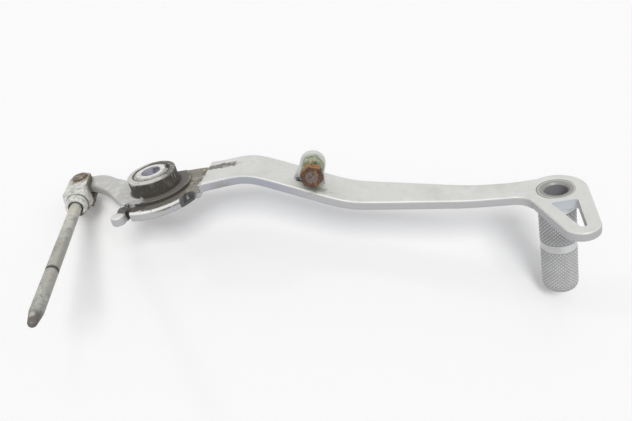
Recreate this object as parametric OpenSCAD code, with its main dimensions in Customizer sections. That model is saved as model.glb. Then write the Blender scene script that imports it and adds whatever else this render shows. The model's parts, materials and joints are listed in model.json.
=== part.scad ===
// Rear brake pedal of a motorbike: cast arm on a pivot sleeve, with a turned toe peg,
// a stop screw, and a fork and push rod for the master cylinder.
// Origin: centre of the pivot bore, level with the cast disc round the hub.
// +X runs forward to the toe peg, +Z runs along the pivot towards the bike.
// Millimetres.

/* [Pivot] */
// Bore of the pivot sleeve, for the pivot bolt
pivot_d = 10; // [8:0.5:11]
// Wall of the pivot sleeve
sleeve_wall = 2.5; // [1.5:0.25:3]
// Wall of the liner bush in the hub
bush_wall = 1.25; // [1:0.25:1.5]
// Running gap between the sleeve and what turns on it
pivot_gap = 0.05; // [0.02:0.01:0.1]
// Outer diameter of the hub
hub_d = 25; // [24:0.5:30]
// Height of the hub above the disc
hub_up = 8; // [6:0.5:12]
// Depth of the hub below the disc
hub_down = 11; // [8:0.5:14]
// Width of each dust seal along the pivot
seal_w = 3; // [2:0.5:4]
// Radial width of each dust seal
seal_ring = 2.3; // [1.75:0.05:2.4]
// How far the sleeve stands out of the hub at each end
sleeve_proud = 0.3; // [0.1:0.1:1]

/* [Casting] */
// Distance from the pivot to the toe peg
reach = 195; // [180:1:220]
// Depth of the eye plate's face below the disc
peg_drop = 35; // [28:1:42]
// Thickness of the cast web
web_t = 4.8; // [4:0.2:6]
// Radius of the rounded edges of the web
edge_r = 1.1; // [0.5:0.1:1.6]
// Diameter of the disc round the hub
disc_d = 37; // [35:0.2:40]
// Radius of the skirt in front of the disc
skirt_r = 25.3; // [23:0.1:28]
// Step down from the disc to the skirt
skirt_step = 1.2; // [0.6:0.1:2]
// Height of the beam's face above the disc
beam_rise = 1.5; // [0.5:0.1:2.5]
// Distance from the pivot to the bend where the beam starts outboard
bend_in = 50; // [44:1:58]
// Distance from the pivot to the bend where the beam levels off
bend_out = 98; // [90:1:110]
// Height that the beam loses between the two bends
jog = 21.5; // [16:0.5:24]
// Sideways bow of the beam at its first bend
bow = 6; // [0:0.5:8]
// Width of the beam at its root
root_w = 26.6; // [24:0.2:30]
// Width of the beam between the bends
beam_w = 23.6; // [18:0.2:26]
// Width of the beam just before the eye plate
neck_w = 15; // [12:0.5:18]
// Radius of the fillet where that neck meets the eye plate
neck_fillet = 8; // [4:0.5:9]

/* [Eye plate] */
// Outer diameter of the eye round the peg
eye_d = 28.8; // [26:0.2:32]
// Distance from the peg to the plate's far corner, across the arm
corner_back = 31.5; // [28:0.5:36]
// Offset of that corner along the arm
corner_along = 4; // [0:0.5:6]
// Radius of that corner
corner_r = 8.3; // [7:0.1:9]
// Width of the plate left round the window
frame_w = 5.3; // [4:0.1:6]
// Radius of the window's corners
window_r = 1.3; // [0.8:0.1:2]

/* [Rear lever] */
// Distance from the pivot to the fork pin along the arm
lever_back = 53; // [46:1:56]
// Distance from the pivot to the fork pin across the arm
lever_side = 21.7; // [18:0.5:26]
// Width of the lever at its eye
lever_w = 12.4; // [11:0.2:13]
// Width of the lever at its root
lever_root_w = 14; // [13:0.5:18]
// Width of the spring notch
notch_w = 2.8; // [2:0.1:3.4]

/* [Toe peg] */
// Diameter of the peg over its grip
peg_d = 18; // [16:0.5:20]
// Length of the peg from the plate's face to its end
peg_len = 58; // [50:1:64]
// Diameter of the bore in the peg
peg_bore = 11; // [8:0.5:12]
// Depth of the bore
peg_bore_depth = 40; // [20:1:44]
// Length of the smooth collar below the plate
collar_len = 5; // [4:0.5:8]
// Length of the upper grip band
grip_len = 18; // [16:0.5:24]
// Width of the smooth ring between the grips
ring_w = 4.5; // [3:0.5:6]

/* [Stop screw] */
// Distance from the pivot to the foot of the stop screw's lug
stop_x = 78.4; // [72:0.2:84]
// Height of the screw's axis above the beam's face
stop_h = 9; // [8:0.1:11]
// Turn of the stop screw away from square across the arm
stop_turn = 4.5; // [0:0.5:8]
// Diameter of the stop screw and of the push rod
thread_d = 6; // [5:1:6]
// Width across the flats of the head and the nut
hex_af = 10; // [9:0.5:11]
// Thickness of the lug that carries the screw
lug_t = 3.6; // [3:0.2:6]
// Width of the lug
lug_w = 12.6; // [11:0.2:14]
// Gap between the nut and the head
stop_gap = 4.6; // [1:0.2:7]

/* [Push rod] */
// Width of the fork where its neck begins
fork_w = 13.4; // [12:0.2:14]
// Height of the fork, across both arms
fork_h = 10.6; // [10:0.2:12]
// Slot of the fork
fork_slot = 6; // [5.4:0.1:7]
// Distance from the fork pin to the fork's mouth of the thread
fork_len = 27; // [24:0.5:32]
// Diameter of the fork's round neck
neck_d = 11; // [10:0.5:12]
// Diameter of the fork pin
pin_d = 6; // [5:0.5:6.5]
// Angle of the push rod from square across the arm
rod_angle = 15.3; // [5:0.1:20]
// Length of the push rod outside the fork
rod_out = 100; // [80:1:130]

/* [Hidden] */
$fn = 64;
eps = 0.01;

// Radii of the pivot, from the sleeve outwards
sleeve_r = pivot_d / 2 + sleeve_wall;
run_r = sleeve_r + pivot_gap;
bush_r = run_r + bush_wall;
seal_r = run_r + seal_ring;
hub_r = hub_d / 2;

// Levels of the casting's faces
skirt_top = -skirt_step;
skirt_low = skirt_top - web_t;
plate_top = -peg_drop;
plate_low = plate_top - web_t;

// The beam's face: height, sideways place and width along the arm
neck_side = (eye_d - neck_w) / 2 - 1.5;
face_z = [[0, beam_rise], [bend_in, beam_rise], [bend_out, beam_rise - jog],
    [reach - eye_d / 2 - 2, plate_top], [reach + eye_d, plate_top]];
face_y = [[0, 2.4], [disc_d / 2 + 8, 2.4], [disc_d / 2 + 18.8, 3.4], [bend_in, bow], [bend_out, 0.5],
    [reach - 34, 0.5], [reach - 18, neck_side], [reach, neck_side]];
face_w = [[0, root_w], [disc_d / 2 + 6.5, root_w], [disc_d / 2 + 11, beam_w],
    [bend_in, beam_w], [bend_out - 6, beam_w], [bend_out + 20, beam_w - 3],
    [reach - 50, neck_w + 2], [reach - 34, neck_w], [reach - 10, neck_w]];
blend_half = 6;

// Drop from the beam's face to the ground round the disc, which is level with the skirt
step_at = disc_d / 2 + 6.1;
step_run = 2.8;
root_drop = [[step_at, -beam_rise - skirt_step], [step_at + step_run, 0]];

// Average of a table over a short stretch, which rounds its corners
function smooth(x, table, half, n = 5) =
    let (v = [for (i = [-n:n]) lookup(x + i * half / n, table)])
    v * [for (i = v) 1] / len(v);
function beam_top(x) = smooth(x, face_z, blend_half);
function beam_mid(x) = smooth(x, face_y, blend_half * 2);
function beam_half(x) = smooth(x, face_w, blend_half) / 2;

// How much wider the fillet makes the neck, on the side of the plate's far corner
fillet_at = reach - eye_d / 2 - 0.74 * neck_fillet;
function flare(x) = let (u = min(max(x - fillet_at, 0), 0.95 * neck_fillet))
    neck_fillet - sqrt(neck_fillet * neck_fillet - u * u);

// Outline of a web's section: a rectangle with rounded corners, across and up
corner_steps = 3;
function section(half_w, half_t, r) = [for (q = [0:3]) for (i = [0:corner_steps])
    let (a = 90 * q + 90 * i / corner_steps,
        cx = (q == 0 || q == 3 ? 1 : -1) * (half_w - r),
        cy = (q < 2 ? 1 : -1) * (half_t - r))
    [cx + r * cos(a), cy + r * sin(a)]];

function unit(v) = v / norm(v);

// A solid through rings that all have the same number of points
module loft(rings) {
    n = len(rings[0]);
    last = len(rings) - 1;
    polyhedron(
        points = [for (ring = rings) each ring],
        faces = concat(
            [for (j = [1:n - 2]) [0, j, j + 1]],
            [for (i = [0:last - 1]) for (j = [0:n - 1])
                let (k = (j + 1) % n) each [
                    [i * n + j, (i + 1) * n + k, i * n + k],
                    [i * n + j, (i + 1) * n + j, (i + 1) * n + k]]],
            [for (j = [1:n - 2]) [last * n, last * n + j + 1, last * n + j]]));
}

// A round plate with rounded edges, its top face at z = 0
module pill(r, t, e) {
    rotate_extrude() {
        square([r - e, t]);
        translate([0, e]) square([r, t - 2 * e]);
        for (y = [e, t - e]) translate([r - e, y]) circle(e, $fn = 24);
    }
}

module ring(r_out, r_in, h) {
    difference() {
        cylinder(r = r_out, h = h);
        translate([0, 0, -1]) cylinder(r = r_in, h = h + 2);
    }
}

// The beam, from beside the hub to inside the eye plate, with a ring at each of these
beam_start = 3;
beam_end = reach - eye_d / 4;
ring_step = 3.4;
fine_step = 1.3;
beam_at = concat([beam_start, step_at - 6, step_at, step_at + step_run],
    [for (x = step_at + step_run + 2.5; x < fillet_at - 1; x = x + ring_step) x],
    [for (x = fillet_at; x < beam_end; x = x + fine_step) x]);
module beam() loft([for (x = beam_at)
    let (slope = (beam_top(x + 1) - beam_top(x - 1)) / 2,
        up = unit([-slope, 0, 1]),
        top = [x, beam_mid(x) - flare(x) / 2, beam_top(x) + lookup(x, root_drop)])
    [for (p = section(beam_half(x) + flare(x) / 2, web_t / 2, edge_r))
        top + [0, p[0], 0] + up * (p[1] - web_t / 2)]]);

// The rear lever, from inside the disc to its eye: side place, level and width. Its
// root is flush with the disc, and it runs down to the skirt's level
lever_line = [[6, -11.5], [16.4, -1.2], [26, 8.9], [42.3, lever_side + 0.3],
    [47, lever_side + 1.3], [lever_back, lever_side]];
lever_top = [[22, 0], [36, skirt_top]];
lever_wide = [[6, lever_root_w + 2], [18, lever_root_w], [32, lever_w - 0.9], [lever_back, lever_w]];
lever_rings = 24;
function lever_at(u) = [-u, smooth(u, lever_line, 3.5), lookup(u, lever_top) - web_t / 2];
module lever() {
    loft([for (i = [0:lever_rings])
        let (u = 6 + (lever_back - 6) * i / lever_rings,
            along = unit(lever_at(u + 0.5) - lever_at(u - 0.5)),
            side = unit([-along[1], along[0], 0]))
        [for (p = section(smooth(u, lever_wide, 3) / 2, web_t / 2, edge_r))
            lever_at(u) + side * p[0] + [0, 0, p[1]]]]);
    translate([-lever_back, lever_side, skirt_low]) pill(lever_w / 2, web_t, edge_r);
}

// Everything round the hub: the disc, the skirt, the hub itself and the spring horn
cut_back = 13;
cut_side = -14.5;
horn = [-13, -24.2];
horn_r = 3.6;
module hub_web() {
    intersection() {
        union() {
            translate([0, 0, skirt_low]) cylinder(r = disc_d / 2, h = -skirt_low);
            translate([0, 0, skirt_low]) pill(skirt_r, web_t, edge_r);
        }
        translate([cut_side, -skirt_r - 1, skirt_low - 1])
            cube([skirt_r - 3 - cut_side, skirt_r + 1 + cut_back, web_t + 4]);
    }
    translate([0, 0, -hub_down]) rotate_extrude() {
        square([hub_r - edge_r, hub_up + hub_down]);
        translate([0, edge_r / 2]) square([hub_r, hub_up + hub_down - edge_r]);
        for (y = [edge_r / 2, hub_up + hub_down - edge_r / 2])
            translate([hub_r - edge_r, y]) scale([2, 1]) circle(edge_r / 2, $fn = 24);
    }
    translate([horn[0], horn[1], skirt_low]) pill(horn_r, web_t, edge_r);
}

module eye_plate() {
    hull() {
        translate([reach, 0, plate_low]) pill(eye_d / 2, web_t, edge_r, $fn = 48);
        translate([reach + corner_along, -corner_back, plate_low])
            pill(corner_r, web_t, edge_r, $fn = 32);
    }
}

module window() {
    top = -peg_d / 2 - 2.6;
    low = -corner_back - corner_r + frame_w;
    hull() for (p = [[-4.4, top], [7.2, top], [6, low], [2.8, low]])
        translate([reach + p[0] + (p[0] < 3 ? window_r : -window_r),
            p[1] + (p[1] == low ? window_r : -window_r), plate_low - 2])
            cylinder(r = window_r, h = web_t + 4, $fn = 24);
}

// The lug for the stop screw stands square on the sloping beam. What belongs to it is
// drawn round the screw's axis, which points out of the lug's front face
lug_y = 1;
lug_lean = atan((beam_top(stop_x - 1) - beam_top(stop_x + 1)) / 2);
module on_lug() translate([stop_x, lug_y, beam_top(stop_x)])
    rotate([0, lug_lean, stop_turn]) translate([0, 0, stop_h]) rotate([90, 0, 0]) children();

lug_flare = 1.8;
lug_root = 1.2;
module lug() on_lug() translate([0, 0, -lug_t]) linear_extrude(lug_t) polygon(concat(
    [for (a = [0:10:180]) lug_w / 2 * [cos(a), sin(a)]],
    [for (t = [1:4]) [-lug_w / 2 - lug_flare * pow(t / 4, 3), -stop_h * t / 4]],
    [[-lug_w / 2 - lug_flare, -stop_h - lug_root], [lug_w / 2 + lug_flare, -stop_h - lug_root]],
    [for (t = [4:-1:1]) [lug_w / 2 + lug_flare * pow(t / 4, 3), -stop_h * t / 4]]));

relief_floor = 1.3;
relief = [[disc_d / 2 + 0.3, -10.6], [step_at - 0.4, -11.8], [step_at + 1, -24],
    [disc_d / 2 + 0.5, -24]];
module pedal_arm() color("silver") difference() {
    union() {
        hub_web();
        beam();
        lever();
        eye_plate();
        lug();
    }
    // Hub bore and the seal pockets
    translate([0, 0, -hub_down - 1]) cylinder(r = bush_r, h = hub_up + hub_down + 2);
    translate([0, 0, hub_up - seal_w]) cylinder(r = seal_r, h = seal_w + 1);
    translate([0, 0, -hub_down - 1]) cylinder(r = seal_r, h = seal_w + 1);
    // Eye for the fork pin
    translate([-lever_back, lever_side, skirt_low - 1])
        cylinder(r = pin_d / 2 + pivot_gap, h = web_t + 2);
    // Seat of the toe peg and the window
    translate([reach, 0, plate_low - 1]) cylinder(r = peg_d / 2 - 0.2, h = web_t + 3);
    window();
    // Thread of the stop screw
    on_lug() translate([0, 0, -lug_t - 1]) cylinder(r = thread_d / 2, h = lug_t + 2);
    // Relief beside the beam's root, down to a thin floor
    translate([0, 0, skirt_low + relief_floor]) linear_extrude(web_t) polygon(relief);
    // Notch for the spring
    translate([horn[0] + horn_r + notch_w / 2, horn[1] + 3, skirt_low - 1]) {
        cylinder(r = notch_w / 2, h = web_t + 2);
        translate([-notch_w / 2, -12, 0]) cube([notch_w, 12, web_t + 2]);
    }
}

module pivot_bush() color("darkgoldenrod")
    translate([0, 0, -hub_down + seal_w])
        ring(bush_r, run_r, hub_up + hub_down - 2 * seal_w);

module pivot_sleeve() color("gainsboro")
    translate([0, 0, -hub_down - sleeve_proud])
        ring(sleeve_r, pivot_d / 2, hub_up + hub_down + 2 * sleeve_proud);

// A dust seal with a shallow groove in its outer face
module seal() {
    rotate_extrude() difference() {
        translate([run_r, 0]) square([seal_r - run_r, seal_w]);
        translate([(run_r + seal_r) / 2, seal_w]) circle(seal_ring / 4, $fn = 24);
    }
}
module seal_inboard() color("dimgray") translate([0, 0, hub_up - seal_w]) seal();
module seal_outboard() color("dimgray")
    translate([0, 0, -hub_down + seal_w]) mirror([0, 0, 1]) seal();

// The toe peg, turned from bar, from its rounded end up to the plate's face
module toe_peg() color("gray") translate([reach, 0, plate_top - peg_len])
    rotate_extrude() difference() {
        r = peg_d / 2;
        end_r = 3;
        seat = peg_len - web_t;
        grip_low = seat - collar_len - grip_len - ring_w;
        union() {
            square([r - end_r, grip_low]);
            translate([0, end_r]) square([r, grip_low - end_r]);
            translate([r - end_r, end_r]) circle(end_r, $fn = 40);
            translate([0, grip_low - eps]) square([r - 0.25, ring_w + 2 * eps]);
            translate([0, grip_low + ring_w]) square([r, grip_len]);
            translate([0, grip_low + ring_w + grip_len - eps])
                square([r - 0.25, collar_len + eps]);
            translate([0, seat - eps]) square([r - 0.2, web_t + eps]);
        }
        translate([-r, -1]) square([r, peg_len + 2]);
        translate([-1, peg_len - peg_bore_depth])
            square([peg_bore / 2 + 1, peg_bore_depth + 1]);
        polygon([[peg_bore / 2 - eps, peg_len - 0.8], [peg_bore / 2 + 0.8, peg_len + eps],
            [peg_bore / 2 - eps, peg_len + eps]]);
    }

// A hexagon with its corners turned off at one or both ends, flats to the sides
module hexagon(af, h, both = false) {
    corner = af / sqrt(3);
    intersection() {
        rotate(30) cylinder(r = corner, h = h, $fn = 6);
        rotate_extrude() polygon([[0, 0], [both ? af / 2 : corner, 0],
            [corner, both ? (corner - af / 2) / 2 : 0],
            [corner, h - (corner - af / 2) / 2], [af / 2, h], [0, h]]);
    }
}

head_h = 4;
nut_h = 5;
nut_turn = 24;
screw_end = 2.4;
module stop_screw() color("saddlebrown") on_lug() difference() {
    union() {
        translate([0, 0, nut_h + stop_gap]) hexagon(hex_af, head_h);
        translate([0, 0, -lug_t - screw_end])
            cylinder(r = thread_d / 2, h = screw_end + lug_t + nut_h + stop_gap + eps);
    }
    translate([0, 0, nut_h + stop_gap + head_h - 0.5]) cylinder(r1 = 1.9, r2 = 2.4, h = 1);
}

module stop_nut() color("olivedrab") on_lug() difference() {
    rotate(nut_turn) hexagon(hex_af, nut_h, true);
    translate([0, 0, -1]) cylinder(r = thread_d / 2, h = nut_h + 2);
}

// What swings on the fork pin is drawn along -Y and then turned to the rod's angle
module on_pin() translate([-lever_back, lever_side, skirt_top - web_t / 2])
    rotate(rod_angle) children();

slot_deep = 13.2;
block_len = 22;
mouth_d = thread_d + 1;
mouth_deep = 5;
tail = 6;
turned_slope = 0.8;
module fork() color("darkgray") on_pin() difference() {
    union() {
        intersection() {
            translate([0, 0, -fork_h / 2]) linear_extrude(fork_h) {
                circle(tail);
                polygon([[-tail, 0], [-fork_w / 2, -block_len], [fork_w / 2, -block_len], [tail, 0]]);
            }
            // The end is turned down to the neck
            rotate([90, 0, 0]) translate([0, 0, -tail - 1])
                cylinder(r1 = neck_d / 2 + turned_slope * (block_len + tail + 1),
                    r2 = neck_d / 2, h = block_len + tail + 1);
        }
        rotate([90, 0, 0]) translate([0, 0, block_len - 2])
            cylinder(r = neck_d / 2, h = fork_len - block_len + 1);
        rotate([90, 0, 0]) translate([0, 0, fork_len - 1 - eps])
            cylinder(r1 = neck_d / 2, r2 = neck_d / 2 - 0.8, h = 1 + eps);
    }
    translate([-fork_w, -slot_deep, -fork_slot / 2]) cube([2 * fork_w, slot_deep + 2 * tail, fork_slot]);
    translate([0, 0, -fork_w]) cylinder(r = pin_d / 2, h = 2 * fork_w);
    rotate([90, 0, 0]) cylinder(r = thread_d / 2, h = fork_len + 1);
    rotate([90, 0, 0]) translate([0, 0, fork_len - mouth_deep])
        cylinder(r = mouth_d / 2, h = mouth_deep + 1);
}

pin_head_d = 8.6;
pin_head_h = 1.4;
washer_t = 1;
cotter_d = 1.6;
pin_low = fork_h / 2 + washer_t + 4.6;
cotter_z = -fork_h / 2 - washer_t - cotter_d / 2 - 0.1;
module fork_pin() color("silver") on_pin() difference() {
    union() {
        translate([0, 0, -pin_low + 0.6]) cylinder(r = pin_d / 2, h = pin_low - 0.6 + fork_h / 2);
        translate([0, 0, -pin_low]) cylinder(r1 = pin_d / 2 - 0.6, r2 = pin_d / 2, h = 0.6);
        translate([0, 0, fork_h / 2]) cylinder(r = pin_head_d / 2, h = pin_head_h - 0.5);
        translate([0, 0, fork_h / 2 + pin_head_h - 0.5])
            cylinder(r1 = pin_head_d / 2, r2 = pin_head_d / 2 - 0.5, h = 0.5);
    }
    translate([-pin_d, 0, cotter_z]) rotate([0, 90, 0]) cylinder(r = cotter_d / 2, h = 2 * pin_d);
}

module pin_washer() color("rosybrown") on_pin()
    translate([0, 0, -fork_h / 2 - washer_t]) ring(5.4, pin_d / 2, washer_t);

// Split pin: a flat loop at one side of the fork pin, a shank through it, and its two
// legs bent apart at the other side
module cotter_pin() color("sienna") on_pin() translate([0, 0, cotter_z]) {
    r = cotter_d / 2;
    out = pin_d / 2 + 0.8;
    translate([-out, 0, 0]) rotate([0, 90, 0]) cylinder(r = r, h = 2 * out);
    translate([-out - 1.8, 0, 0]) rotate_extrude() translate([1.8, 0]) circle(r * 0.8, $fn = 20);
    for (s = [-1, 1]) translate([out, 0, 0]) rotate([s * 98, 0, 0]) {
        sphere(r = r, $fn = 24);
        cylinder(r1 = r, r2 = r * 0.7, h = 5);
    }
}

// The push rod, from its thread in the fork out to its rounded end
groove_at = 61;
groove_w = 1.6;
tip_len = 9;
module push_rod() color("darkseagreen") on_pin()
    rotate([90, 0, 0]) translate([0, 0, slot_deep + 1]) rotate_extrude() {
        r = thread_d / 2;
        start = fork_len - slot_deep - 1;
        total = start + rod_out;
        tip_r = 1.9;
        difference() {
            union() {
                square([r, total - tip_len]);
                polygon([[0, total - tip_len], [r, total - tip_len],
                    [tip_r, total - tip_r * 0.8], [0, total - tip_r * 0.8]]);
                translate([0, total - tip_r]) circle(tip_r, $fn = 32);
            }
            translate([-r, -1]) square([r, total + 2]);
            translate([r - 0.5, start + groove_at]) square([1, groove_w]);
        }
    }

pedal_arm();
pivot_bush();
pivot_sleeve();
seal_inboard();
seal_outboard();
toe_peg();
stop_screw();
stop_nut();
fork();
fork_pin();
pin_washer();
cotter_pin();
push_rod();
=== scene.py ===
"""Looks of a motorbike's rear brake pedal: cast and painted arm, knurled toe peg,
rusty stop screw, and the zinc-plated fork with its push rod.
Places and patterns are written in millimetres of the object's own frame.
"""

import json
import math

import bpy
from mathutils import Matrix, Vector


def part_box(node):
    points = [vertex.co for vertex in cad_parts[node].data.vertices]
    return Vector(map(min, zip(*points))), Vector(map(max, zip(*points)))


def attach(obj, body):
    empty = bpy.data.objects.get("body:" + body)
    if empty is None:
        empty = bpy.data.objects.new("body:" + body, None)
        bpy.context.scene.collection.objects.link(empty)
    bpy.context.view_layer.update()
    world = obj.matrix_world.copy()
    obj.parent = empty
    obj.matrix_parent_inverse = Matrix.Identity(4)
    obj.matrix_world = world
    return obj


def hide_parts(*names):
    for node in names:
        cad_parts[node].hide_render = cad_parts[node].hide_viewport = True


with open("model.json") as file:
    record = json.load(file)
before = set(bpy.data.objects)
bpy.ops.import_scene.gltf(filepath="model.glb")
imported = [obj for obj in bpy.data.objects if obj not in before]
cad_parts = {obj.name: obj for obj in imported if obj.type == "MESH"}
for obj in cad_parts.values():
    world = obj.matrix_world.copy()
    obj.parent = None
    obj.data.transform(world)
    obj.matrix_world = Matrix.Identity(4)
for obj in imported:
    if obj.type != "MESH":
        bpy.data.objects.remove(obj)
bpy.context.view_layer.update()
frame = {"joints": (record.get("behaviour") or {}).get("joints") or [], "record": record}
bpy.ops.object.select_all(action="DESELECT")
bpy.context.scene.view_settings.view_transform = "Standard"

MM = 0.001
UP = Vector((0, 0, 1))
# Squeezes that measure a distance from an axis along Z, or along Z alone
ROUND = (1, 1, 0)
UPRIGHT = (0, 0, 1)

mounts = {mount["name"]: mount for mount in frame["record"]["mounts"]}
joints = {joint["name"]: joint for joint in frame["joints"]}
arm_low, arm_high = (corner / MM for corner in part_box("pedal_arm"))
peg_low, peg_high = (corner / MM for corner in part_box("toe_peg"))
nut_low, nut_high = (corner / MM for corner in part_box("stop_nut"))

# Casting: radii of its hub, disc and skirt round the pivot, and the step to the beam
PIVOT = (0, 0, 0)
HUB_R, DISC_R, SKIRT_R = 12.5, 18.5, 25.3
HUB_TOP = arm_high.z
PLATE_LOW = arm_low.z
STEP_X = 24.6

# Toe peg: knurled grips as (top, low), with a smooth ring between them
PEG_X = (peg_low.x + peg_high.x) / 2
PEG_TOP, PEG_END = peg_high.z, peg_low.z
BORE_R, SEAT_R, SMOOTH_R = 5.5, 8.8, 8.75
BORE_FLOOR = -75.0
VALLEY, PEAK = 8.62, 9.0
END_ROUND = 4.0
GRIPS = ((-44.8, -62.8), (-67.3, PEG_END + END_ROUND))

# Stop screw: distances along its axis start at the nut's seat on the lug
SCREW_OUT = Vector(mounts["stop_face"]["axis"])
NUT_THICK, HEAD_BACK, HEAD_THICK = 5.0, 9.6, 4.0
SCREW_AT = (nut_low + nut_high) / 2 - SCREW_OUT * NUT_THICK / 2
# Screw and nut are turned on their axis, so that a flat of each hexagon points up
TURNED = (Matrix.Translation(SCREW_AT * MM) @ Matrix.Rotation(math.radians(30), 4, SCREW_OUT)
          @ Matrix.Translation(-SCREW_AT * MM))

# Fork and push rod: distances along the rod start at the fork's pin
PIN = Vector(joints["rod_swing"]["pos_m"]) / MM
ROD_OUT = Vector(mounts["push_rod_end"]["axis"])
ROD_SIDE = Vector((-ROD_OUT.y, ROD_OUT.x, 0))
ROD_TIP = Vector(mounts["push_rod_end"]["pos_m"]) / MM


# Camera: focal length 640 px on an image 632 px wide
camera_data = bpy.data.cameras.new("camera")
camera_data.sensor_width = 36
camera_data.lens = 36.44
camera_data.clip_start = 0.01
camera_data.clip_end = 50
camera = bpy.data.objects.new("camera", camera_data)
camera.location = (0.14427, -0.27746, 0.13027)
camera.rotation_euler = (math.radians(60.146), math.radians(12.853), math.radians(6.130))
bpy.context.scene.collection.objects.link(camera)
bpy.context.scene.camera = camera


# Tools for painting a surface
def colour(code):
    """The linear RGBA of an sRGB hex value."""
    parts = [int(code[i:i + 2], 16) / 255 for i in (1, 3, 5)]
    return [c / 12.92 if c < 0.04045 else ((c + 0.055) / 1.055) ** 2.4 for c in parts] + [1.0]


def add(tree, kind, inputs=None, **settings):
    """Adds one node, with its settings, and its inputs set or linked."""
    made = tree.nodes.new(kind)
    for name, value in settings.items():
        setattr(made, name, value)
    for name, value in (inputs or {}).items():
        if isinstance(value, bpy.types.NodeSocket):
            tree.links.new(value, made.inputs[name])
        else:
            made.inputs[name].default_value = value
    return made


def start(name):
    """A new material, and a place in millimetres to paint by."""
    material = bpy.data.materials.new(name)
    material.use_nodes = True
    tree = material.node_tree
    tree.nodes.clear()
    where = add(tree, "ShaderNodeTexCoord").outputs["Object"]
    place = add(tree, "ShaderNodeVectorMath", {0: where, "Scale": 1 / MM}, operation="SCALE")
    return material, tree, place.outputs[0]


def finish(tree, base, roughness, metallic, normal):
    """Closes a material with its shader."""
    shader = add(tree, "ShaderNodeBsdfPrincipled", {
        "Base Color": base, "Roughness": roughness, "Metallic": metallic, "Normal": normal})
    add(tree, "ShaderNodeOutputMaterial", {"Surface": shader.outputs[0]})


def coat(tree, below, code, *masks):
    """A coat of one colour over what is below, where all its masks overlap."""
    cover = masks[0]
    for mask in masks[1:]:
        cover = add(tree, "ShaderNodeMath", {0: cover, 1: mask}, operation="MULTIPLY").outputs[0]
    return add(tree, "ShaderNodeMix", {0: cover, 6: below, 7: colour(code)},
               data_type="RGBA").outputs[2]


def patches(tree, place, size, low, high, stretch=(1, 1, 1), turn=0, seed=0):
    """Irregular patches: size is a patch's width in mm, and low and high cut the noise."""
    turned = add(tree, "ShaderNodeMapping", {
        "Vector": place, "Scale": [s / size for s in stretch],
        "Rotation": (0, 0, math.radians(turn)), "Location": (seed * 7.3, seed * 3.1, seed)})
    noise = add(tree, "ShaderNodeTexNoise", {
        "Vector": turned.outputs[0], "Scale": 1.0, "Detail": 4, "Roughness": 0.6})
    return add(tree, "ShaderNodeMapRange", {
        "Value": noise.outputs[0], "From Min": low, "From Max": high},
        interpolation_type="SMOOTHSTEP").outputs[0]


def near(tree, place, centre, full, gone, squeeze=(1, 1, 1)):
    """1 within full mm of a point and 0 beyond gone; squeeze 0 leaves a direction out."""
    off = add(tree, "ShaderNodeVectorMath", {0: place, 1: centre}, operation="SUBTRACT")
    kept = add(tree, "ShaderNodeVectorMath", {0: off.outputs[0], 1: squeeze},
               operation="MULTIPLY")
    away = add(tree, "ShaderNodeVectorMath", {0: kept.outputs[0]}, operation="LENGTH")
    return add(tree, "ShaderNodeMapRange", {
        "Value": away.outputs[1], "From Min": gone, "From Max": full},
        interpolation_type="SMOOTHSTEP").outputs[0]


def beyond(tree, place, direction, gone, full):
    """0 where the distance along a direction is gone, 1 where it is full, in mm."""
    along = add(tree, "ShaderNodeVectorMath", {0: place, 1: direction},
                operation="DOT_PRODUCT")
    return add(tree, "ShaderNodeMapRange", {
        "Value": along.outputs[1], "From Min": gone, "From Max": full},
        interpolation_type="SMOOTHSTEP").outputs[0]


def between(tree, place, centre, inner, outer, soft, squeeze=ROUND):
    """A ring round an axis, or a band, from inner to outer mm, with soft edges."""
    wide = near(tree, place, centre, outer, outer + soft, squeeze)
    narrow = near(tree, place, centre, inner - soft, inner, squeeze)
    return add(tree, "ShaderNodeMath", {0: wide, 1: narrow}, operation="SUBTRACT").outputs[0]


def shaken(tree, place, size, reach):
    """The place moved about by up to reach mm, so that the edges of a mask go ragged.
    Noise strays about an eighth from its middle value, hence the 8."""
    small = add(tree, "ShaderNodeVectorMath", {0: place, "Scale": 1 / size},
                operation="SCALE")
    noise = add(tree, "ShaderNodeTexNoise", {
        "Vector": small.outputs[0], "Scale": 1.0, "Detail": 4})
    centred = add(tree, "ShaderNodeVectorMath", {0: noise.outputs[1], 1: (0.5, 0.5, 0.5)},
                  operation="SUBTRACT")
    moved = add(tree, "ShaderNodeVectorMath", {
        0: centred.outputs[0], 1: (8 * reach,) * 3, 2: place}, operation="MULTIPLY_ADD")
    return moved.outputs[0]


def skin(tree, place, size, depth, stretch=(1, 1, 1), below=None):
    """Bumps of that size and depth in mm, over a normal below."""
    turned = add(tree, "ShaderNodeMapping", {
        "Vector": place, "Scale": [s / size for s in stretch]})
    noise = add(tree, "ShaderNodeTexNoise", {
        "Vector": turned.outputs[0], "Scale": 1.0, "Detail": 3})
    inputs = {"Height": noise.outputs[0], "Distance": depth * MM, "Strength": 1.0}
    if below:
        inputs["Normal"] = below
    return add(tree, "ShaderNodeBump", inputs).outputs[0]


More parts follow.
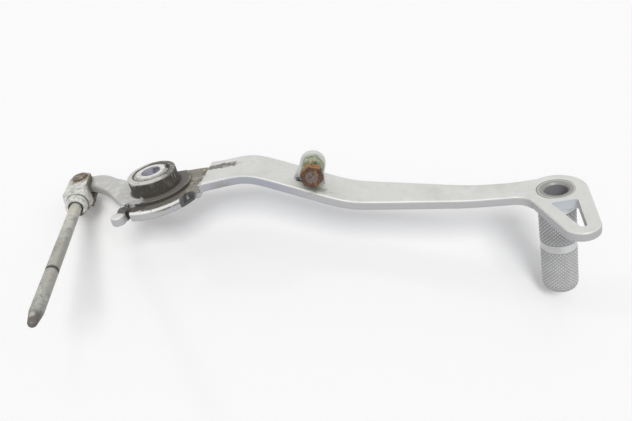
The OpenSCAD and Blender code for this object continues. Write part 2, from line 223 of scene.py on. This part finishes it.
# Finish of the casting, coat by coat
def silver_paint_and_shade(tree, place):
    """Satin silver paint, softly mottled; the sides are painted duller and bluer than the top
    as painted shade, darkest on the hump and palest in the eye plate's window.
    """
    base = coat(tree, colour("#d6d6d2"), "#cacac5", patches(tree, place, 16, 0.45, 0.7))
    base = coat(tree, base, "#dcdddb", patches(tree, place, 9, 0.5, 0.75, seed=2))
    base = coat(tree, base, "#b9b8b3", patches(tree, place, 2.2, 0.62, 0.8, seed=3))
    # Painted shade: faces that turn away from up are coated duller and bluer
    facing = add(tree, "ShaderNodeTexCoord").outputs["Normal"]
    sides = beyond(tree, facing, UP, 0.7, 0.3)
    base = coat(tree, base, "#b7b7b9", sides)
    hump = near(tree, place, (50, 0, 0), 12, 32, (1, 0.2, 0.2))
    base = coat(tree, base, "#a7a9b3", sides, hump)
    lug = near(tree, place, (82, 5, -2), 9, 11)
    base = coat(tree, base, "#d2d5d0", lug, beyond(tree, place, UP, -9.5, -8))
    window = near(tree, place, (196, -13, -38), 5, 7)
    base = coat(tree, base, "#c6cbd0", window, sides)
    lever = near(tree, place, (-34, 4, -4), 24, 34)
    return coat(tree, base, "#c0bfbb", lever, patches(tree, place, 5, 0.24, 0.56, seed=20))


def film_reach(tree, place):
    """Where road film lies: the ground round the disc, and the beam's root up to a
    ragged edge at the step."""
    ground = near(tree, place, (4, 0, 0), 24.0, 24.9, ROUND)
    root = beyond(tree, shaken(tree, place, 4, 1.5), (-1, 0, 0), -STEP_X - 1.8, -STEP_X - 0.9)
    return ground, root


def road_film_and_shade(tree, place, rough, base):
    """Brown road film over the disc and its ground, with dirt in the corners, and painted shade
    along the disc's foot and in the horn's notch.
    """
    ground, root = film_reach(tree, place)
    left = beyond(tree, rough, (1, 0.42, 0), -10.5, -6.5)
    top = beyond(tree, place, UP, -3.4, -2.6)
    base = coat(tree, base, "#8b877d", ground, left, root, top,
                patches(tree, place, 3.4, 0.16, 0.34, seed=5))
    base = coat(tree, base, "#5c5850", ground, left, root, top,
                patches(tree, place, 4, 0.5, 0.66, seed=6))
    disc = near(tree, place, PIVOT, DISC_R - 1.7, DISC_R - 0.3, ROUND)
    base = coat(tree, base, "#6b6864", disc, left, top,
                patches(tree, place, 3, 0.2, 0.4, seed=17))
    base = coat(tree, base, "#a6a298", ground, root, top,
                patches(tree, place, 2.6, 0.54, 0.66, seed=11),
                beyond(tree, place, (1, 0, 0), 15, 18))
    base = coat(tree, base, "#9f9b91", near(tree, rough, (20.4, 3.3, 0), 0.6, 2.4, (0.5, 1, 0.3)))
    # Brown film on the skirt's top at the front, and painted shade as a dark line at the disc's
    # foot
    ring = between(tree, rough, PIVOT, DISC_R + 0.1, SKIRT_R - 2.1, 0.5)
    base = coat(tree, base, "#66635a", ring, top, beyond(tree, place, (0.55, -0.83, 0), 6, 12),
                beyond(tree, place, (-1, 0, 0), -20, -16))
    foot = between(tree, place, PIVOT, DISC_R - 0.3, DISC_R + 0.3, 0.45)
    base = coat(tree, base, "#47443e", foot, root, top,
                beyond(tree, place, (0.5, -0.87, 0), 7, 14), left)
    # Painted shade in the horn's notch, and a tongue of grease along the beam's back
    notch = near(tree, shaken(tree, place, 5, 0.4), (-7.2, -19.4, -1.2), 3.0, 4.2,
                 (0.42, 0.9, 0.4))
    base = coat(tree, base, "#4c4a46", notch)
    tongue = near(tree, rough, (32.5, 7.8, 1.5), 2.0, 3.0, (0.22, 1, 0.3))
    return coat(tree, base, "#716e67", tongue, patches(tree, place, 2.6, 0.24, 0.4, seed=7))


def hub_grease(tree, place, rough, base):
    """Near-black grease on the hub's wall, streaked at the right; the rim is worn pale."""
    hub = near(tree, place, PIVOT, HUB_R + 0.5, HUB_R + 1.7, ROUND)
    under_rim = beyond(tree, rough, UP, HUB_TOP - 0.7, HUB_TOP - 1.5)
    base = coat(tree, base, "#46433e", hub, under_rim, beyond(tree, place, UP, -0.5, 0.1),
                patches(tree, place, 4, 0.16, 0.34, (1, 1, 0.5), seed=8))
    base = coat(tree, base, "#625f57", hub, under_rim, beyond(tree, place, UP, 0.2, 1),
                patches(tree, place, 1.8, 0.5, 0.64, (1, 1, 0.4), seed=19))
    base = coat(tree, base, "#8b8881", near(tree, rough, (-12.2, -3.6, 4.6), 0.6, 2.4))
    base = coat(tree, base, "#8f8b84", hub, beyond(tree, place, (1, 0.2, 0), 9.5, 11.5),
                beyond(tree, place, UP, 1.5, 4),
                patches(tree, place, 1.5, 0.5, 0.62, (1, 1, 0.15), seed=12))
    rim = beyond(tree, place, UP, HUB_TOP - 1.1, HUB_TOP - 0.6)
    base = coat(tree, base, "#cbc9c4", hub, rim, patches(tree, place, 3, 0.3, 0.5, seed=13))
    return coat(tree, base, "#716e68", hub, rim, beyond(tree, rough, (0.75, 0.66, 0), -1, 6),
                patches(tree, place, 1.6, 0.3, 0.5, seed=14))


def worn_edges_and_highlights(tree, place, rough, base):
    """Worn paint on the disc, and bright metal along the skirt's rim and the step, worn bare
    and lightened further as painted highlight along these edges.
    """
    worn = near(tree, rough, (-6.2, -15.4, 0), 1.8, 3.6, (0.7, 1, 0.4))
    base = coat(tree, base, "#b9b9ba", worn, beyond(tree, place, UP, 0.9, 0.4),
                patches(tree, place, 2.4, 0.2, 0.4, seed=18))
    # Skirt's rim: worn bright metal, and a painted highlight along its front edge
    rim = between(tree, place, PIVOT, SKIRT_R - 0.9, SKIRT_R + 4.7, 0.4)
    base = coat(tree, base, "#dededc", rim, near(tree, place, (8, -20, -1.2), 15, 18),
                beyond(tree, place, UP, -2.5, -1.7), patches(tree, place, 3, 0.24, 0.4, seed=9))
    # Step: worn bright metal, and a painted highlight along its edge
    step = near(tree, rough, (STEP_X + 0.9, -5, 0.3), 0.6, 1.4, (1, 0.12, 0.6))
    return coat(tree, base, "#e4e4e0", step, patches(tree, place, 1.1, 0.38, 0.48, seed=15))


def dirt_and_painted_shade(tree, place, rough, base):
    """Grease and painted shade in the relief beside the root, grease on the beam's side next to
    it, grease and painted shade in the corner at the lug's base, a darker greenish grey under
    the stop screw, and painted shade as a dark line round the back of the peg's seat."""
    # Grease and painted shade in the relief beside the root
    relief = near(tree, place, (22.0, -16.0, -3.2), 4.4, 5.2, (1, 0.8, 0.7))
    base = coat(tree, base, "#5d5e5f", relief)
    smear = near(tree, rough, (37, -8.4, -2.2), 1.0, 3.4, (0.5, 1, 1))
    base = coat(tree, base, "#9d9d98", smear)
    # Grease and painted shade in the corner at the lug's base
    lug_corner = near(tree, rough, (74.2, -0.4, -9), 0.5, 2.0, (0.4, 1, 1))
    base = coat(tree, base, "#3a3b34", lug_corner)
    # A darker greenish grey on the beam's side under the stop screw
    under_screw = near(tree, rough, (83.5, -5.2, -12.4), 1.2, 5, (0.5, 1, 1))
    base = coat(tree, base, "#8b8c80", under_screw)
    # Painted shade: a dark line round the back of the peg's seat
    seat = near(tree, place, (PEG_X, 0, 0), PEAK + 0.1, PEAK + 0.35, ROUND)
    return coat(tree, base, "#76746f", seat, beyond(tree, place, (-1, 1, 0), -203, -196),
                beyond(tree, place, UP, PEG_TOP - 2, PEG_TOP - 1))


def painted_casting():
    """Sand-cast aluminium under satin silver paint: pale and softly mottled, with road grease
    where the hub turns, bright metal where the paint has worn off, painted shade on its
    walls and in its creases, and painted highlights along some edges."""
    material, tree, place = start("silver_paint_on_cast_aluminium")
    rough = shaken(tree, place, 2.2, 0.9)
    base = silver_paint_and_shade(tree, place)
    base = road_film_and_shade(tree, place, rough, base)
    base = hub_grease(tree, place, rough, base)
    base = worn_edges_and_highlights(tree, place, rough, base)
    base = dirt_and_painted_shade(tree, place, rough, base)
    ground, root = film_reach(tree, place)
    dirty = add(tree, "ShaderNodeMath", {0: ground, 1: root}, operation="MULTIPLY").outputs[0]
    roughness = add(tree, "ShaderNodeMapRange", {"Value": dirty, "To Min": 0.46, "To Max": 0.75})
    normal = skin(tree, place, 0.9, 0.03)
    normal = skin(tree, place, 6, 0.12, below=normal)
    finish(tree, base, roughness.outputs[0], 0.2, normal)
    return material


# Other finishes
def ground_steel():
    """Turned and ground steel sleeve: pale, with a fine ringed grain and a dull bore painted
    bluish grey as painted shade, darker in patches on one side.
    """
    material, tree, place = start("ground_steel_sleeve")
    base = coat(tree, colour("#e0e0de"), "#c2c1bd", patches(tree, place, 3, 0.45, 0.7))
    base = coat(tree, base, "#9a978f", patches(tree, place, 1.2, 0.62, 0.75, seed=1))
    # Painted shade in the bore: bluish grey, darker in patches on one side
    bore = near(tree, place, PIVOT, 5.05, 5.3, ROUND)
    base = coat(tree, base, "#c2c0ca", bore)
    base = coat(tree, base, "#716d76", bore, patches(tree, place, 2.6, 0.4, 0.56, seed=2),
                beyond(tree, place, (1, 0.6, 0), 0, 3.4))
    finish(tree, base, 0.45, 0.3, skin(tree, place, 0.5, 0.01, (1, 1, 6)))
    return material


def seal_rubber():
    """Nitrile rubber lip under pale road dust, black where the dust has rubbed off."""
    material, tree, place = start("dusty_nitrile_rubber")
    base = coat(tree, colour("#bfbdb7"), "#8e8b84", patches(tree, place, 1.3, 0.5, 0.66))
    rubbed = near(tree, place, (7.2, 4.6, HUB_TOP), 1.8, 3.2)
    base = coat(tree, base, "#3b3936", rubbed)
    edge = between(tree, place, PIVOT, 9.3, 12, 0.3)
    base = coat(tree, base, "#3a3834", edge)
    finish(tree, base, 0.8, 0.0, skin(tree, place, 0.5, 0.05))
    return material


def bearing_bronze():
    """Sintered bronze liner, hidden between hub and sleeve."""
    material, tree, place = start("sintered_bronze")
    base = coat(tree, colour("#8f6c3f"), "#5f4828", patches(tree, place, 2, 0.45, 0.7))
    finish(tree, base, 0.5, 0.9, skin(tree, place, 0.4, 0.02))
    return material


def peg_plating():
    """Knurled steel with dull nickel plating: pale peaks, and dirt in the valleys."""
    material, tree, place = start("dull_plated_knurl")
    axis = (PEG_X, 0, 0)
    base = coat(tree, colour("#dbdcdd"), "#c8c8c8", patches(tree, place, 5, 0.4, 0.7))
    valley = near(tree, place, axis, VALLEY + 0.04, PEAK - 0.04, ROUND)
    (upper_top, upper_low), (lower_top, _) = GRIPS
    base = coat(tree, base, "#a4a4a4", valley,
                beyond(tree, place, UP, lower_top + 0.3, lower_top - 0.1))
    upper = near(tree, place, UP * (upper_top + upper_low) / 2, 9.1, 9.3, UPRIGHT)
    base = coat(tree, base, "#979798", valley, upper)
    # Painted shade in the bore, a little bluish, and a warm stain round its mouth
    base = coat(tree, base, "#9e9da2", near(tree, place, axis, BORE_R + 0.02, BORE_R + 0.2, ROUND))
    mouth = beyond(tree, place, UP, PEG_TOP - 1.2, PEG_TOP - 0.9)
    base = coat(tree, base, "#93918c", mouth)
    base = coat(tree, base, "#b0afab", mouth, between(tree, place, axis, 7.7, 12, 0.2))
    base = coat(tree, base, "#8b8984", mouth, between(tree, place, axis, 7.3, 7.6, 0.2))
    # A painted highlight: a bright band round the collar under the plate
    base = coat(tree, base, "#e9eaeb", between(tree, place, axis, 7, 12, 0.3),
                beyond(tree, place, UP, PLATE_LOW - 1.8, PLATE_LOW - 1.4),
                beyond(tree, place, UP, PLATE_LOW + 0.8, PLATE_LOW - 0.4))
    finish(tree, base, 0.45, 0.3, skin(tree, place, 0.6, 0.02))
    return material


def rusty_steel():
    """Plain steel screw gone brown, ochre on its worn corners, and ochre on the faces that turn
    up as rust and painted highlight, with a beige thread."""
    material, tree, place = start("rusted_steel_screw")
    base = coat(tree, colour("#5f4638"), "#402e26", patches(tree, place, 2.4, 0.45, 0.65))
    base = coat(tree, base, "#8a6a3c", patches(tree, place, 3.2, 0.54, 0.7, seed=2))
    # Ochre on the faces that turn up: rust, and a painted highlight
    facing = add(tree, "ShaderNodeTexCoord").outputs["Normal"]
    base = coat(tree, base, "#9c7038", beyond(tree, facing, UP, 0.55, 0.8),
                patches(tree, place, 2, 0.36, 0.5, seed=3))
    face = near(tree, place, SCREW_AT + SCREW_OUT * (HEAD_BACK + HEAD_THICK), 2.4, 3.6)
    base = coat(tree, base, "#7d716a", face, patches(tree, place, 1.5, 0.3, 0.55, seed=4))
    head_at = SCREW_AT.dot(SCREW_OUT) + HEAD_BACK
    shank = beyond(tree, place, SCREW_OUT, head_at, head_at - 0.4)
    base = coat(tree, base, "#cdb79c", shank)
    base = coat(tree, base, "#9a8058", shank, patches(tree, place, 1.6, 0.5, 0.65, seed=5))
    finish(tree, base, 0.7, 0.2, skin(tree, place, 0.7, 0.08))
    return material


def olive_zinc():
    """Lock nut with old yellow zinc gone olive grey."""
    material, tree, place = start("olive_zinc_plate")
    base = coat(tree, colour("#9a9e84"), "#7a7e61", patches(tree, place, 2.5, 0.4, 0.65))
    base = coat(tree, base, "#cdcfc1", patches(tree, place, 1.8, 0.54, 0.68, seed=2))
    finish(tree, base, 0.5, 0.3, skin(tree, place, 0.8, 0.03))
    return material


def along_rod(tree, place, gone, full):
    """0 where the distance from the pin along the rod is gone, 1 where it is full."""
    pin_at = PIN.dot(ROD_OUT)
    return beyond(tree, place, ROD_OUT, pin_at + gone, pin_at + full)


def across_rod(tree, place, gone, full):
    """The same as along_rod, but from the rod's axis towards the bike's front."""
    pin_at = PIN.dot(ROD_SIDE)
    return beyond(tree, place, ROD_SIDE, pin_at + gone, pin_at + full)


def fork_zinc():
    """Zinc-plated fork: mid grey, stained brown where the pin's rust has run."""
    material, tree, place = start("dull_zinc_plate")
    base = coat(tree, colour("#dcdcd7"), "#a9a9a3", patches(tree, place, 3.4, 0.42, 0.66))
    base = coat(tree, base, "#cdccc6", patches(tree, place, 2.2, 0.55, 0.7, seed=2))
    base = coat(tree, base, "#7b776d", patches(tree, place, 1.4, 0.6, 0.72, seed=3))
    rust = near(tree, place, PIN + UP * 5.3, 4.4, 8.5, (1, 1, 0.35))
    base = coat(tree, base, "#a08f7b", rust, patches(tree, place, 2.2, 0.3, 0.6, seed=4))
    base = coat(tree, base, "#65503e", rust, patches(tree, place, 1.6, 0.56, 0.7, seed=5))
    # Brown grime and painted shade down the flank beside the lever, and brown grime over
    # the lower arm
    flank = across_rod(tree, place, 4.6, 5.6)
    base = coat(tree, base, "#524d3e", flank, beyond(tree, place, (0, 1, 0), 6, 12))
    lower_arm = beyond(tree, place, UP, -6.4, -7.4)
    base = coat(tree, base, "#5f4c3c", lower_arm, patches(tree, place, 2.4, 0.35, 0.55, seed=6))
    # Painted shade as a dark ring round the neck, and dirt in the hole that the rod screws into
    neck = near(tree, place, PIN + ROD_OUT * 21.5, 6.8, 7.6)
    base = coat(tree, base, "#75726c", neck, along_rod(tree, place, 21.3, 21.8),
                along_rod(tree, place, 22.8, 22.3))
    hole = near(tree, place, PIN + ROD_OUT * 27, 3.7, 4.1)
    base = coat(tree, base, "#4a4742", hole)
    finish(tree, base, 0.55, 0.3, skin(tree, place, 0.8, 0.04))
    return material


def rusty_zinc(name, pale, stain):
    """Small plated parts whose zinc has mostly gone: brown rust with pale remains."""
    material, tree, place = start(name)
    base = coat(tree, colour(pale), stain, patches(tree, place, 1.8, 0.36, 0.56))
    base = coat(tree, base, "#4a3428", patches(tree, place, 1.1, 0.55, 0.7, seed=2))
    finish(tree, base, 0.65, 0.25, skin(tree, place, 0.6, 0.05))
    return material


def rod_zinc():
    """Zinc-plated rod gone greenish grey, with painted shade, a little brown, on one side, and
    dark at its end with a painted highlight on top.
    """
    material, tree, place = start("greenish_zinc_rod")
    # Streaks run along the rod, which stands 15 degrees off the Y axis
    grain = (2, 0.4, 2)
    base = coat(tree, colour("#b0b0a9"), "#9a9a92",
                patches(tree, place, 5, 0.4, 0.66, (2, 0.5, 2), turn=15))
    base = coat(tree, base, "#c4c4be",
                patches(tree, place, 2.4, 0.56, 0.7, grain, turn=15, seed=2))
    base = coat(tree, base, "#7d7c73", patches(tree, place, 1.5, 0.53, 0.68, seed=3))
    base = coat(tree, base, "#c6c7bf", patches(tree, place, 0.9, 0.56, 0.7, seed=8))
    # Painted shade, a little brown, on one side of the rod's middle
    middle = near(tree, place, PIN + ROD_OUT * 84.5, 14, 26)
    base = coat(tree, base, "#b0ada4", middle, across_rod(tree, place, -1.1, 1.4),
                patches(tree, place, 3, 0.3, 0.6, grain, turn=15, seed=4))
    base = coat(tree, base, "#cbcbc1", along_rod(tree, place, 69, 43),
                patches(tree, place, 4, 0.3, 0.6, seed=7))
    # Dirt in the boot's groove, a stain beside the fork, and a dark end with a painted highlight
    # on its top
    base = coat(tree, base, "#6d6a64", along_rod(tree, place, 86.8, 87.5),
                along_rod(tree, place, 89.5, 88.7))
    stain = near(tree, place, PIN + ROD_OUT * 32.6 + UP * 1.6, 2, 6)
    base = coat(tree, base, "#c2b9a4", stain, patches(tree, place, 3, 0.4, 0.6, seed=5))
    base = coat(tree, base, "#67635f", near(tree, place, ROD_TIP, 5, 10),
                patches(tree, place, 3.4, 0.2, 0.4, seed=6))
    spot = near(tree, place, PIN + ROD_OUT * 122.3 + UP * 3, 0.8, 2.2)
    base = coat(tree, base, "#b3aea6", spot)
    finish(tree, base, 0.5, 0.3, skin(tree, place, 0.9, 0.03))
    return material


def clothe(name, material):
    """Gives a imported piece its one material."""
    mesh = bpy.data.objects[name].data
    mesh.materials.clear()
    mesh.materials.append(material)


pin_rust = rusty_zinc("rusted_zinc_pin", "#9b948a", "#6b5b4d")
clip_rust = rusty_zinc("rusted_wire", "#7d6247", "#5b4130")
peg_finish = peg_plating()
screw_finish = rusty_steel()
rubber = seal_rubber()
clothe("pedal_arm", painted_casting())
clothe("pivot_sleeve", ground_steel())
clothe("pivot_bush", bearing_bronze())
clothe("seal_inboard", rubber)
clothe("seal_outboard", rubber)
clothe("toe_peg", peg_finish)
clothe("stop_screw", screw_finish)
clothe("stop_nut", olive_zinc())
clothe("fork", fork_zinc())
clothe("fork_pin", pin_rust)
clothe("pin_washer", clip_rust)
clothe("cotter_pin", clip_rust)
clothe("push_rod", rod_zinc())


# Knurled toe peg: diamonds 1.9 mm wide round the peg and 2 mm along it
COLUMNS = 60
ROW = 1.0


def knurled_peg():
    """The bored peg, drawn ring by ring from its bore's floor, over its mouth and down
    the outside, then every second point of the grips pulled out to make diamonds."""
    profile = [(BORE_FLOOR, BORE_R), (PEG_TOP - 0.8, BORE_R), (PEG_TOP, BORE_R + 0.7),
               (PEG_TOP, SEAT_R - 0.02), (PEG_TOP - 0.3, SEAT_R), (PLATE_LOW, SEAT_R),
               (PLATE_LOW - 0.2, SMOOTH_R), (GRIPS[0][0] + 0.2, SMOOTH_R)]
    rows = []
    for top, low in GRIPS:
        count = round((top - low) / ROW)
        for i in range(count + 1):
            rows.append(top - i * (top - low) / count)
            profile.append((rows[-1], VALLEY))
        if top == GRIPS[0][0]:
            profile += [(low - 0.2, SMOOTH_R), (GRIPS[1][0] + 0.2, SMOOTH_R)]
    for degrees in range(6, 90, 14):
        angle = math.radians(degrees)
        profile.append((PEG_END + END_ROUND * (1 - math.sin(angle)),
                        SEAT_R - END_ROUND * (1 - math.cos(angle))))
    profile.append((PEG_END, SEAT_R - END_ROUND - 0.2))
    z, r = profile[0]
    bpy.ops.mesh.primitive_circle_add(vertices=COLUMNS, radius=r * MM,
                                      location=(PEG_X * MM, 0, z * MM))
    piece = bpy.context.object
    piece.name = piece.data.name = "toe_peg_knurled"
    bpy.ops.object.transform_apply(location=True)
    bpy.ops.object.mode_set(mode="EDIT")
    bpy.ops.mesh.select_all(action="SELECT")
    bpy.ops.mesh.edge_face_add()
    bpy.ops.mesh.select_all(action="SELECT")
    bpy.ops.mesh.select_mode(type="EDGE")
    for z_next, r_next in profile[1:]:
        bpy.ops.mesh.extrude_edges_move(
            TRANSFORM_OT_translate={"value": (0, 0, (z_next - z) * MM)})
        bpy.ops.transform.resize(value=(r_next / r, r_next / r, 1),
                                 center_override=(PEG_X * MM, 0, z_next * MM))
        z, r = z_next, r_next
    bpy.ops.mesh.edge_face_add()
    bpy.ops.mesh.select_mode(type="VERT")
    bpy.ops.mesh.select_all(action="DESELECT")
    bpy.ops.object.mode_set(mode="OBJECT")
    step = 2 * math.pi / COLUMNS
    for v in piece.data.vertices:
        x, y, height = v.co.x / MM - PEG_X, v.co.y / MM, v.co.z / MM
        row = min(range(len(rows)), key=lambda i: abs(rows[i] - height))
        edge = min(abs(rows[row] - end) for grip in GRIPS for end in grip) < 0.1
        on_row = abs(rows[row] - height) < 0.02 and abs(math.hypot(x, y) - VALLEY) < 0.02
        column = round(math.atan2(y, x) / step)
        v.select = on_row and not edge and (row + column) % 2 == 0
    bpy.ops.object.mode_set(mode="EDIT")
    bpy.ops.transform.resize(value=(PEAK / VALLEY, PEAK / VALLEY, 1),
                             center_override=(PEG_X * MM, 0, 0))
    bpy.ops.mesh.select_all(action="SELECT")
    bpy.ops.mesh.quads_convert_to_tris(quad_method="SHORTEST_DIAGONAL")
    bpy.ops.mesh.normals_make_consistent(inside=False)
    bpy.ops.object.mode_set(mode="OBJECT")
    piece.data.materials.append(peg_finish)
    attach(piece, "pedal")
    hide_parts("toe_peg")
    bpy.ops.object.select_all(action="DESELECT")


knurled_peg()


# Stop screw with a real M6 thread: pitch 1 mm
PITCH = 1.0
CORE, CREST = 2.45, 2.98
SCREW_START = -6.0
SIDES = 24
WELD = 0.002


def copied(node, name):
    """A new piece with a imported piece's mesh, its loose triangles merged."""
    piece = bpy.data.objects.new(name, bpy.data.objects[node].data.copy())
    bpy.context.scene.collection.objects.link(piece)
    bpy.context.view_layer.objects.active = piece
    piece.select_set(True)
    bpy.ops.object.mode_set(mode="EDIT")
    bpy.ops.mesh.select_all(action="SELECT")
    bpy.ops.mesh.remove_doubles(threshold=WELD * MM)
    bpy.ops.mesh.select_all(action="DESELECT")
    bpy.ops.object.mode_set(mode="OBJECT")
    return piece


def screw_head():
    """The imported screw's head alone, closed at its back and turned."""
    head = copied("stop_screw", "stop_screw_threaded")
    for v in head.data.vertices:
        v.select = (v.co / MM - SCREW_AT).dot(SCREW_OUT) < HEAD_BACK - 0.1
    bpy.ops.object.mode_set(mode="EDIT")
    bpy.ops.mesh.delete(type="VERT")
    bpy.ops.mesh.select_mode(type="EDGE")
    bpy.ops.mesh.select_non_manifold(extend=False)
    bpy.ops.mesh.edge_face_add()
    bpy.ops.mesh.select_mode(type="VERT")
    bpy.ops.object.mode_set(mode="OBJECT")
    head.matrix_world = TURNED
    bpy.ops.object.transform_apply(location=True, rotation=True)
    bpy.ops.object.select_all(action="DESELECT")
    return head


def screw_shank():
    """The thread's core, upright on the Z axis, with a bevelled end."""
    length = HEAD_BACK + 0.5 - SCREW_START
    bpy.ops.mesh.primitive_cylinder_add(vertices=SIDES, radius=CORE * MM, depth=length * MM,
                                        location=(0, 0, (SCREW_START + length / 2) * MM))
    shank = bpy.context.object
    bpy.ops.object.transform_apply(location=True)
    bpy.ops.object.mode_set(mode="EDIT")
    bpy.ops.mesh.select_all(action="DESELECT")
    bpy.ops.object.mode_set(mode="OBJECT")
    for face in shank.data.polygons:
        face.select = face.normal.z < -0.9
    bpy.ops.object.mode_set(mode="EDIT")
    bpy.ops.mesh.select_mode(type="FACE")
    bpy.ops.mesh.bevel(offset=0.5 * MM, segments=1)
    bpy.ops.mesh.select_mode(type="VERT")
    bpy.ops.object.mode_set(mode="OBJECT")
    bpy.ops.object.select_all(action="DESELECT")
    return shank


def screw_thread():
    """A tooth with a narrow flat crest, wound up the Z axis and closed at both ends."""
    bpy.ops.mesh.primitive_plane_add(size=1, location=(0, 0, 0))
    thread = bpy.context.object
    root = CORE - 0.15
    tooth = ((root, -0.48), (CREST, -0.08), (root, 0.48), (CREST, 0.08))
    for v, (out, along) in zip(thread.data.vertices, tooth):
        v.co = Vector((out * MM, 0, (SCREW_START + 1.1 + along) * MM))
    bpy.ops.object.mode_set(mode="EDIT")
    bpy.ops.mesh.select_all(action="SELECT")
    bpy.ops.mesh.delete(type="ONLY_FACE")
    bpy.ops.object.mode_set(mode="OBJECT")
    wind = thread.modifiers.new("wind", "SCREW")
    wind.screw_offset = PITCH * MM
    wind.iterations = int(HEAD_BACK - SCREW_START - 1.6)
    wind.steps = wind.render_steps = SIDES
    bpy.ops.object.modifier_apply(modifier="wind")
    bpy.ops.object.mode_set(mode="EDIT")
    bpy.ops.mesh.select_mode(type="EDGE")
    bpy.ops.mesh.select_non_manifold(extend=False)
    bpy.ops.mesh.edge_face_add()
    bpy.ops.mesh.select_all(action="SELECT")
    bpy.ops.mesh.normals_make_consistent(inside=False)
    bpy.ops.mesh.select_mode(type="VERT")
    bpy.ops.object.mode_set(mode="OBJECT")
    return thread


def threaded_screw():
    """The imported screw's head, on a shank of smaller core with a thread wound round it."""
    head = screw_head()
    upright = (screw_shank(), screw_thread())
    turned = SCREW_OUT.to_track_quat("Z", "Y").to_matrix().to_4x4()
    for part in upright:
        part.matrix_world = Matrix.Translation(SCREW_AT * MM) @ turned
        part.select_set(True)
    bpy.ops.object.transform_apply(location=True, rotation=True, scale=True)
    head.select_set(True)
    bpy.context.view_layer.objects.active = head
    bpy.ops.object.join()
    head.data.materials.clear()
    head.data.materials.append(screw_finish)
    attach(head, "pedal")
    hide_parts("stop_screw")
    bpy.ops.object.select_all(action="DESELECT")


def turned_nut():
    """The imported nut, turned like the screw's head."""
    nut = copied("stop_nut", "stop_nut_turned")
    nut.matrix_world = TURNED
    bpy.ops.object.transform_apply(location=True, rotation=True)
    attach(nut, "pedal")
    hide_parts("stop_nut")
    bpy.ops.object.select_all(action="DESELECT")


threaded_screw()
turned_nut()


# The floor slants as the pedal lies on it, 36 mm from the pivot: the fork pin's low end
# stands on it, and the peg's end is 6 mm clear of it
FLOOR_UP = Vector((0.298, -0.271, 0.915)).normalized()
FLOOR_AT = -36.0
bpy.ops.mesh.primitive_plane_add(size=8, location=FLOOR_UP * FLOOR_AT * MM,
                                 rotation=FLOOR_UP.to_track_quat("Z", "Y").to_euler())
floor = bpy.context.object
floor.name = "floor"

# White paper: it looks a little brighter than its light, and clear from underneath
paper, tree, _ = start("white_paper")
seen = add(tree, "ShaderNodeLightPath").outputs["Is Camera Ray"]
lit = add(tree, "ShaderNodeBsdfDiffuse", {"Color": colour("#f4f4f4")})
glow = add(tree, "ShaderNodeEmission", {"Color": (1, 1, 1, 1), "Strength": 0.1})
both = add(tree, "ShaderNodeAddShader", {0: lit.outputs[0], 1: glow.outputs[0]})
shown = add(tree, "ShaderNodeMixShader", {0: seen, 1: lit.outputs[0], 2: both.outputs[0]})
under = add(tree, "ShaderNodeNewGeometry").outputs["Backfacing"]
clear = add(tree, "ShaderNodeBsdfTransparent")
sided = add(tree, "ShaderNodeMixShader", {0: under, 1: shown.outputs[0], 2: clear.outputs[0]})
add(tree, "ShaderNodeOutputMaterial", {"Surface": sided.outputs[0]})
floor.data.materials.append(paper)

# White room: white to the eye and in reflections, and a soft fill for everything else
ROOM_FILL = 0.21
world = bpy.data.worlds.new("studio")
bpy.context.scene.world = world
world.use_nodes = True
sky = world.node_tree
sky.nodes.clear()
ray = add(sky, "ShaderNodeLightPath").outputs
direct = add(sky, "ShaderNodeMath", {0: ray["Is Camera Ray"], 1: ray["Is Glossy Ray"]},
             operation="MAXIMUM")
power = add(sky, "ShaderNodeMix", {0: direct.outputs[0], 2: ROOM_FILL, 3: 1.0})
room = add(sky, "ShaderNodeBackground", {"Color": (1, 1, 1, 1), "Strength": power.outputs[0]})
add(sky, "ShaderNodeOutputWorld", {"Surface": room.outputs[0]})


def lamp(name, direction, spread, share, tint):
    """A far lamp shining along a direction: its apparent size in degrees, the share of
    full white that it gives to a white face square to it, and its colour."""
    light = bpy.data.lights.new(name, "SUN")
    light.color = colour(tint)[:3]
    light.angle = math.radians(spread)
    light.energy = share * math.pi
    holder = bpy.data.objects.new(name, light)
    holder.rotation_euler = Vector(direction).to_track_quat("-Z", "Y").to_euler()
    bpy.context.scene.collection.objects.link(holder)


lamp("front_window", (-0.24, 0.73, -0.64), 20, 0.46, "#fffdf9")
lamp("near_window", (-0.20, 0.80, -0.56), 5, 0.05, "#d4e2ff")
lamp("left_lamp", (0.58, 0.08, -0.81), 7, 0.05, "#ffffff")
lamp("ceiling_lamp", (-0.20, 0.19, -0.96), 7, 0.015, "#ffffff")
lamp("ceiling", (-0.25, 0.1, -0.96), 140, 0.29, "#fbfcff")
